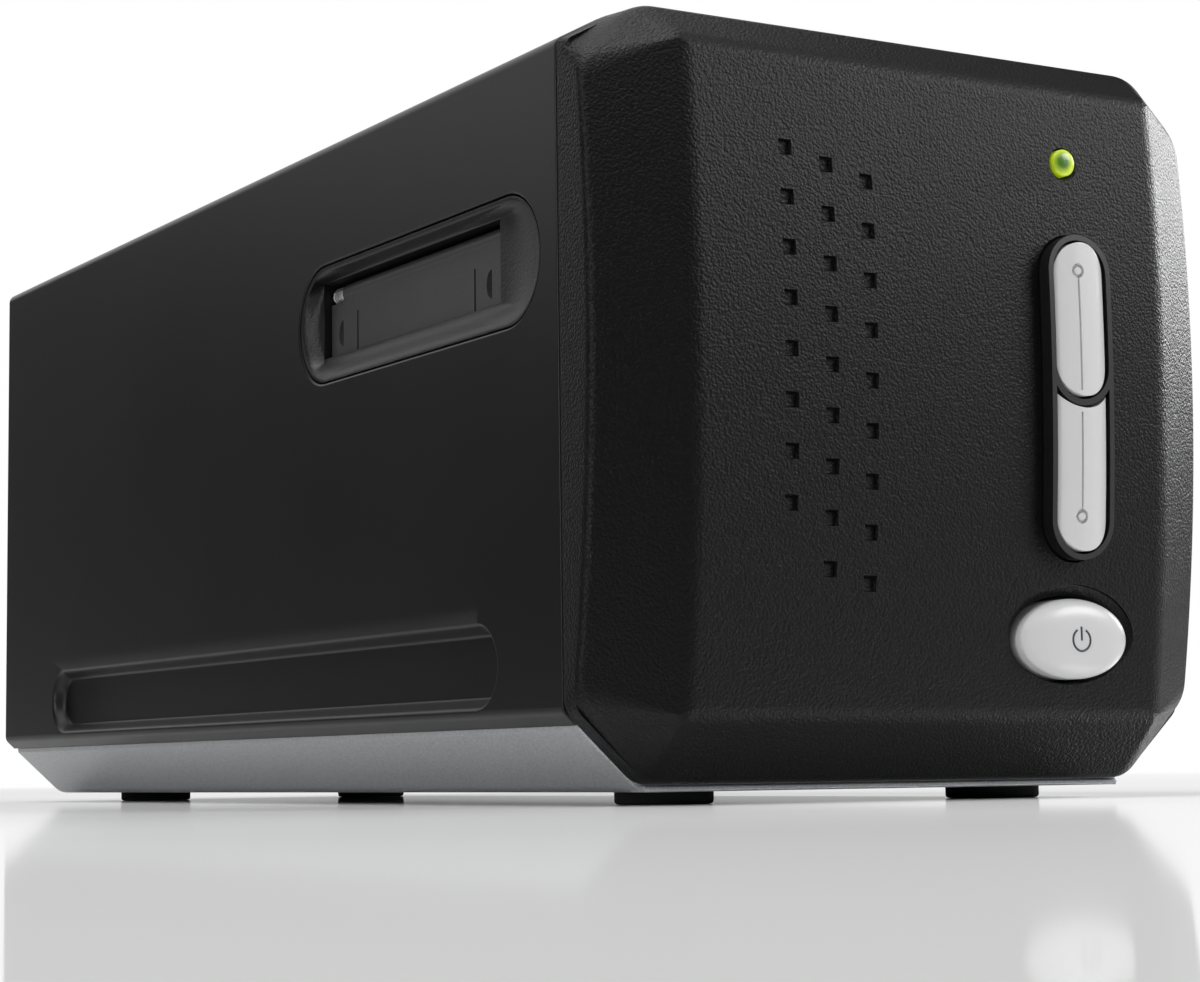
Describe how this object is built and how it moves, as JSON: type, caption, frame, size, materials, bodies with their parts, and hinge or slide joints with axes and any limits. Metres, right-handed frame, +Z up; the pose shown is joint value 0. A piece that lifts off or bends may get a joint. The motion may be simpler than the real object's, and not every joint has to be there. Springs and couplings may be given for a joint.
{
  "type": "film scanner",
  "caption": "Desktop scanner for film negatives and slides: black octagonal housing on a silver base, side film slots with sprung doors, bowed front with silver buttons.",
  "frame": {"origin": "on the table under the middle of the object's box", "axes": "+Z up, -Y towards the front with the buttons, +X to the right seen from the front"},
  "size_m": [0.118, 0.275, 0.121],
  "materials": {
    "black_shell": "fine matt moulded black",
    "black_bezel": "leather-grained matt black",
    "gloss_black": "polished black",
    "silver_base": "silver-grey paint on plastic",
    "satin_silver": "satin silver plating on plastic",
    "lamp_green": "clear yellow-green",
    "rubber": "matt black rubber",
    "dark_plastic": "matt black moulded plastic",
    "steel": "plain steel",
    "bronze": "sintered bronze",
    "white_plastic": "natural white acetal",
    "board_green": "green circuit board",
    "mirror": "front-surface mirror",
    "belt_black": "toothed rubber belt"
  },
  "bodies": {
    "housing": {"top_cover": "black_shell", "base_tray": "silver_base", "front_bezel": "black_bezel", "rear_panel": "black_shell", "button_surround": "gloss_black", "led_lens": "lamp_green", "slot_surround_left": "black_bezel", "slot_surround_right": "black_bezel", "door_pin_left": "steel", "door_pin_right": "steel", "foot_front_left": "rubber", "foot_front_right": "rubber", "foot_rear_left": "rubber", "foot_rear_right": "rubber", "base_screw_front_left": "steel", "base_screw_front_right": "steel", "base_screw_rear_left": "steel", "base_screw_rear_right": "steel", "chassis_frame": "steel", "film_track": "dark_plastic", "lamp_housing": "dark_plastic", "lamp_board": "board_green", "diffuser": "white_plastic", "guide_rod": "steel", "guide_rail": "steel", "motor_plate": "steel", "drive_motor": "steel", "gear_axle": "steel", "idler_bracket": "steel", "idler_axle": "steel", "drive_belt": "belt_black", "main_board": "board_green", "usb_socket": "steel", "power_jack": "dark_plastic", "switch_board": "board_green", "switch_upper": "dark_plastic", "switch_lower": "dark_plastic", "switch_power": "dark_plastic"},
    "left_door": {"dust_door_left": "dark_plastic", "door_spring_left": "steel"},
    "right_door": {"dust_door_right": "dark_plastic", "door_spring_right": "steel"},
    "upper_button": {"scan_button_upper": "satin_silver"},
    "lower_button": {"scan_button_lower": "satin_silver"},
    "power_button": {"power_button": "satin_silver"},
    "carriage": {"scan_carriage": "dark_plastic", "mirror": "mirror", "lens_barrel": "steel", "sensor_board": "board_green", "carriage_bush_front": "bronze", "carriage_bush_rear": "bronze", "belt_clip": "dark_plastic"},
    "gear": {"reduction_gear": "white_plastic"},
    "pinion": {"motor_pinion": "bronze"},
    "idler": {"idler_pulley": "white_plastic"}
  },
  "joints": [
    {"name": "left_door_hinge", "type": "hinge", "parent": "housing", "child": "left_door", "pos_m": [-0.0534, -0.06165, 0.0901], "axis": [0, 1, 0], "range_deg": [0, 80], "stiffness_Nm_per_rad": 0.0008, "springref_deg": -5.73},
    {"name": "right_door_hinge", "type": "hinge", "parent": "housing", "child": "right_door", "pos_m": [0.0534, -0.06165, 0.0901], "axis": [0, 1, 0], "range_deg": [0, 80], "stiffness_Nm_per_rad": 0.0008, "springref_deg": -5.73},
    {"name": "upper_button_press", "type": "slide", "parent": "housing", "child": "upper_button", "axis": [0, 1, 0], "range_m": [0, 0.0008], "stiffness_N_per_m": 800, "springref_m": -0.0008},
    {"name": "lower_button_press", "type": "slide", "parent": "housing", "child": "lower_button", "axis": [0, 1, 0], "range_m": [0, 0.0008], "stiffness_N_per_m": 800, "springref_m": -0.0008},
    {"name": "power_button_press", "type": "slide", "parent": "housing", "child": "power_button", "axis": [0, 1, 0], "range_m": [0, 0.001], "stiffness_N_per_m": 800, "springref_m": -0.0008},
    {"name": "carriage_slide", "type": "slide", "parent": "housing", "child": "carriage", "axis": [0, 1, 0], "range_m": [0, 0.028]},
    {"name": "gear_spin", "type": "hinge", "parent": "housing", "child": "gear", "pos_m": [0.036, 0.07275, 0.032], "axis": [1, 0, 0], "range_deg": [-233, 0]},
    {"name": "pinion_spin", "type": "hinge", "parent": "housing", "child": "pinion", "pos_m": [0.0265, 0.09705, 0.032], "axis": [1, 0, 0], "range_deg": [0, 699]},
    {"name": "idler_spin", "type": "hinge", "parent": "housing", "child": "idler", "pos_m": [0.036, -0.09445, 0.032], "axis": [1, 0, 0], "range_deg": [-233, 0]}
  ],
  "couplings": [
    {"joint": "gear_spin", "follows": "carriage_slide", "rad_per_m": -144.93},
    {"joint": "pinion_spin", "follows": "carriage_slide", "rad_per_m": 434.78},
    {"joint": "idler_spin", "follows": "carriage_slide", "rad_per_m": -144.93}
  ]
}
